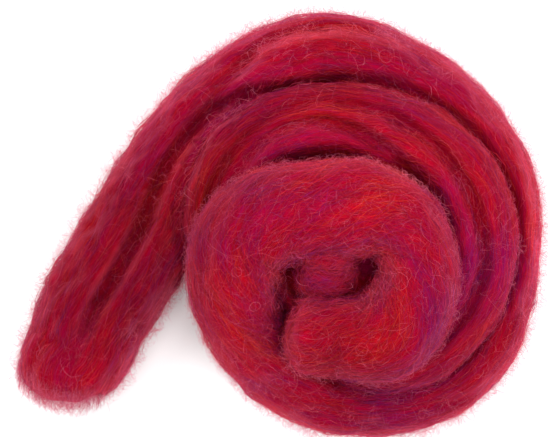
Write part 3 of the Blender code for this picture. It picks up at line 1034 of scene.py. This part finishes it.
def curls(point, normal, flow, length, rise, heading, curl, steps):
    """Paths that leave points at a heading from the lay, bend over the surface and rise off it."""
    share = np.linspace(0.0, 1.0, steps)[None, :, None]
    across = unit(np.cross(normal, flow))[:, None, :]
    flow = np.cross(across, normal[:, None, :])
    angle = heading[:, None, None] + curl[:, None, None] * length[:, None, None] * share
    ways = flow * np.cos(angle) + across * np.sin(angle)
    steps_out = ways * length[:, None, None] / (steps - 1)
    ran = np.cumsum(steps_out, axis=1) - steps_out[:, :1]
    dropped = (ran**2).sum(2, keepdims=True) * np.sin(heading)[:, None, None] ** 2 / (2.0 * SURFACE_ROUND)
    arched = rng.uniform(0.0, 1.0, (len(point), 1, 1)) < 0.5
    profile = np.where(arched, np.sin(math.pi * share), share**RISE_POWER)
    return point[:, None, :] + ran + normal[:, None, :] * (rise[:, None, None] * profile - dropped)


def fuzz(obj, body, count, names):
    """Fuzz over one body, as one piece for each strand that it lies on."""
    point, normal = body_roots(obj, body, count)
    open_share = openness(point, normal)
    free = open_share > PRESSED_BELOW + PRESSED_SPREAD * rng.uniform(-1.0, 1.0, len(point))
    point = point[free]
    normal = normal[free]
    open_share = open_share[free]
    places, flow = chart.nearest(point)
    count = len(point)
    backwards = np.where(rng.uniform(0.0, 1.0, count) < 0.5, 0.0, math.pi)
    heading = backwards + rng.normal(0.0, FUZZ_TURN, count)
    rim = rim_share(places)
    proud = np.minimum(rng.exponential(FUZZ_RISE, count) * open_share, FUZZ_RISE_MOST)
    proud = proud * (FUZZ_LEAST_RISE + (1.0 - FUZZ_LEAST_RISE) * rim)
    rise = SKIN_DEPTH * rng.uniform(*FUZZ_ROOTS, count) + proud
    length = rng.uniform(*FUZZ_LENGTH, count)
    paths = curls(point, normal, flow, length, rise, heading, rng.normal(0.0, FUZZ_CURL, count), FUZZ_STEPS)
    thick = rng.uniform(*FUZZ_THICK, count)
    # Paleness is painted light: more on proud fibres and on the flanks, less in the patches and, as painted
    # shade, in the clefts.
    paleness = rng.uniform(*FUZZ_PALENESS, count) + FUZZ_TIP_PALENESS * proud
    paleness = paleness * np.clip(1.0 + patched(point, PAINTED_GLOW_PATCHES), *PATCHED_RANGE)
    flank_painted_light = painted_flank_glow(open_share, normal, places, LOOSE_LOW_SHARE)
    paleness = paleness * open_share**3 + FUZZ_FLANK_PAINTED_GLOW * flank_painted_light
    depth = painted_shade_and_light(open_share, normal, places, LOOSE_LOW_SHARE)
    on_middle = places[:, 0] >= MIDDLE_LAY_START
    made = []
    for name, chosen in zip(names, (~on_middle, on_middle)):
        parts = [values[chosen] for values in (paths, thick, places, paleness, depth)]
        made.append(fibre_object(name, body, *parts))
    return made


FELT_LENGTH = (4.0, 8.0)
FELT_THICK = (0.08, 0.14)
FELT_RISE = (0.3, 1.3)
FELT_TURN = 0.5
FELT_CURL = 0.1
FELT_PALENESS = 0.08
FELT_PATCHES = [
    # middle and reach of each place where the strand's own lying fibres leave the skin bare, and a count
    ((-5.0, 1.5, 52.0), 12.0, 1500),
    ((-19.0, -19.0, 46.0), 12.0, 900),
]


def felt(obj, body, patches):
    """Short fibres pressed close to the skin at the eye fold and on the strand's inner end."""
    spots = [body_roots(obj, body, count, 0.0, middle, reach) for middle, reach, count in patches]
    point, normal = (np.concatenate(values) for values in zip(*spots))
    places, flow = chart.nearest(point)
    count = len(point)
    heading = rng.normal(0.0, FELT_TURN, count)
    length = rng.uniform(*FELT_LENGTH, count)
    rise = rng.uniform(*FELT_RISE, count)
    paths = curls(point, normal, flow, length, rise, heading, rng.normal(0.0, FELT_CURL, count), FUZZ_STEPS)
    # As on the other fibres: painted shade and light, and a paleness that is less in the clefts as painted
    # shade.
    open_share = openness(point, normal)
    depth = painted_shade_and_light(open_share, normal, places)
    thick = rng.uniform(*FELT_THICK, count)
    return fibre_object("eye_felt", body, paths, thick, places, FELT_PALENESS * open_share, depth)


loose_fuzz = fuzz(loose_end, "loose_end", 12000, ["loose_end_fuzz"])[0]
felt(coil, "coil", FELT_PATCHES)
fuzz(coil, "coil", 24500, ["outer_turn_fuzz", "middle_turn_fuzz"])


# ---- Feathered tip --------------------------------------------------------------------------------------
# The strand was pulled apart by hand, not cut, so wool fibres of uneven length stand out of its blunt tip,
# fanned out and only held by the fibres beside them.

FEATHER_COUNT = 1800
FEATHER_START = 0.3
FEATHER_STRETCH = 9.0
FEATHER_LENGTH = (4.0, 10.0)
FEATHER_RISE = (0.2, 1.6)
FEATHER_TURN = 0.35
FEATHER_CURL = 0.12
# The tip's paleness is painted light, standing in for light that comes through its thin fanned fibres.
FEATHER_PALENESS = (0.25, 0.6)

tip_along, tip_turn = roots(outer, "loose_end", FEATHER_START, FEATHER_STRETCH, FEATHER_COUNT, lowest=-0.9)
tip_points = skin(outer, tip_along, tip_turn, -SKIN_DEPTH)
tip_normals = unit(tip_points - outer.read(tip_along, outer.middle))
feather_paths = curls(
    tip_points,
    tip_normals,
    -flow_of(outer, tip_along, tip_turn),
    rng.uniform(*FEATHER_LENGTH, FEATHER_COUNT),
    rng.uniform(*FEATHER_RISE, FEATHER_COUNT),
    rng.normal(0.0, FEATHER_TURN, FEATHER_COUNT),
    rng.normal(0.0, FEATHER_CURL, FEATHER_COUNT),
    FUZZ_STEPS,
)
feather = fibre_object(
    "tip_feather",
    "loose_end",
    feather_paths,
    rng.uniform(*FUZZ_THICK, FEATHER_COUNT),
    np.stack([tip_along, outer.round_way(tip_along, tip_turn), np.zeros(FEATHER_COUNT)], axis=1),
    rng.uniform(*FEATHER_PALENESS, FEATHER_COUNT),
    np.ones(FEATHER_COUNT),
)


# ---- Stray hairs ----------------------------------------------------------------------------------------
# Longer single wool hairs that have worked loose. They lie over the strand in crimped loops, 4 to 8 mm
# across, and cling to it by their ends.

HAIR_STEPS = 15
HAIR_LENGTH = (9.0, 24.0)
HAIR_THICK = (0.05, 0.09)
HAIR_LIFT = (2.0, 3.2)
HAIR_CURL = 0.28
HAIR_END_LIFT = 0.1
HAIR_ARCH = 0.8
HAIR_PALENESS = (0.2, 0.6)
SINGLE_PALENESS = 0.75
DROP_FROM = 100.0
SINGLE_HAIRS = [
    # start, heading from +X in degrees, length, turn along the whole hair in degrees: hairs that show singly
    (-29.5, -10.4, 0.0, 14.0, 400.0),
    (23.5, -27.0, -84.0, 9.0, 25.0),
    (1.6, -3.4, 97.0, 3.0, 10.0),
    (-51.0, 26.0, 115.0, 7.0, 70.0),
    (-52.0, 27.0, 150.0, 6.0, -60.0),
    (-50.5, 28.0, 85.0, 6.0, 110.0),
    (-51.5, 25.0, 170.0, 5.0, 40.0),
    (-35.0, 35.4, 40.0, 3.0, 20.0),
    (12.0, -35.5, 15.0, 11.0, 30.0),
    (-14.0, 1.5, -60.0, 7.0, 60.0),
]


def laid_hairs(name, obj, body, count, singles=()):
    """Hairs that wander over a body's skin, each with its own steady curl."""
    point, normal = body_roots(obj, body, count, lowest=0.1)
    flow = chart.nearest(point)[1]
    length = rng.uniform(*HAIR_LENGTH, len(point))
    heading = rng.uniform(0.0, 2.0 * math.pi, len(point))[:, None]
    turned = rng.normal(0.0, HAIR_CURL, len(point)) * length
    across = np.cross(normal, flow)
    way = unit(flow * np.cos(heading) + across * np.sin(heading))
    for x, y, degrees, reach, bend in singles:
        foot, facing, _, _ = skins[body].ray_cast(Vector((x, y, DROP_FROM)) * MM, (0, 0, -1))
        angle = math.radians(degrees)
        point = np.vstack([point, np.array(foot) / MM])
        normal = np.vstack([normal, np.array(facing)])
        way = np.vstack([way, [math.cos(angle), math.sin(angle), 0.0]])
        length = np.append(length, reach)
        turned = np.append(turned, math.radians(bend))
    places = chart.nearest(point)[0]
    count = len(point)
    step = (length / (HAIR_STEPS - 1))[:, None]
    curl = (turned / (HAIR_STEPS - 1))[:, None]
    lift = rng.uniform(*HAIR_LIFT, count)
    paths = np.empty((count, HAIR_STEPS, 3))
    for k in range(HAIR_STEPS):
        for i in range(count):
            near, facing, _, _ = skins[body].find_nearest(Vector(point[i]) * MM)
            normal[i] = facing
            raised = lift[i] * math.sin(math.pi * (HAIR_END_LIFT + HAIR_ARCH * k / (HAIR_STEPS - 1)))
            paths[i, k] = np.array(near) / MM + raised * normal[i]
        way = unit(way - (way * normal).sum(1, keepdims=True) * normal)
        way = way * np.cos(curl) + np.cross(normal, way) * np.sin(curl)
        point = paths[:, k] + way * step
    thick = rng.uniform(*HAIR_THICK, count)
    open_share, depth, _ = skin_at(paths[:, HAIR_STEPS // 2], places)
    # Paleness is painted light through single hairs, less in the clefts as painted shade.
    paleness = rng.uniform(*HAIR_PALENESS, count) * open_share
    paleness[count - len(singles) :] = SINGLE_PALENESS
    return fibre_object(name, body, paths, thick, places, paleness, depth)


loose_hairs = laid_hairs("loose_end_hairs", loose_end, "loose_end", 70)
laid_hairs("coil_hairs", coil, "coil", 170, SINGLE_HAIRS)


# ---- Floor, light and camera ----------------------------------------------------------------------------
# A plain pale floor, broad soft light from the upper left and a fill from the right, and a camera that
# looks straight down.

FLOOR_SIDE = 6.0
CAMERA_HEIGHT = 530.0
CAMERA_LEFT = -23.2
CAMERA_BACK = 20.3
CAMERA_LENS = 91.6
SENSOR_WIDTH = 36.0
FLOOR_GREY = (0.92, 0.92, 0.92)
FLOOR_ROUGHNESS = 0.9
ROOM_GREY = (0.93, 0.94, 0.95)
ROOM_STRENGTH = 0.62
LIGHTS = [
    # name, place in m, size in m and power in W
    ("window", (-0.9, 0.9, 1.2), 1.0, 15.0),
    ("overhead", (0.1, 0.1, 1.7), 1.4, 20.0),
    ("fill", (1.1, -0.6, 0.9), 1.0, 10.0),
]
LIGHT_TARGET = (0.0, 0.0, 0.03)

bm = bmesh.new()
bmesh.ops.create_grid(bm, x_segments=1, y_segments=1, size=0.5 * FLOOR_SIDE)
floor = mesh_object("floor", bm)
floor_mat = bpy.data.materials.new("pale_floor")
floor_mat.use_nodes = True
floor_shader = floor_mat.node_tree.nodes["Principled BSDF"]
floor_shader.inputs["Base Color"].default_value = (*FLOOR_GREY, 1.0)
floor_shader.inputs["Roughness"].default_value = FLOOR_ROUGHNESS
floor.data.materials.append(floor_mat)


def soft_light(name, place, size, power):
    lamp = bpy.data.lights.new(name, "AREA")
    lamp.shape = "DISK"
    lamp.size = size
    lamp.energy = power
    obj = bpy.data.objects.new(name, lamp)
    obj.location = place
    obj.rotation_euler = (Vector(LIGHT_TARGET) - Vector(place)).to_track_quat("-Z", "Y").to_euler()
    bpy.context.scene.collection.objects.link(obj)


for light in LIGHTS:
    soft_light(*light)

world = bpy.data.worlds.new("room")
world.use_nodes = True
world.node_tree.nodes["Background"].inputs["Color"].default_value = (*ROOM_GREY, 1.0)
world.node_tree.nodes["Background"].inputs["Strength"].default_value = ROOM_STRENGTH
bpy.context.scene.world = world
bpy.context.scene.view_settings.view_transform = "Standard"

camera_data = bpy.data.cameras.new("camera")
camera_data.lens = CAMERA_LENS
camera_data.sensor_width = SENSOR_WIDTH
camera = bpy.data.objects.new("camera", camera_data)
camera.location = (CAMERA_LEFT * MM, CAMERA_BACK * MM, CAMERA_HEIGHT * MM)
bpy.context.scene.collection.objects.link(camera)
bpy.context.scene.camera = camera
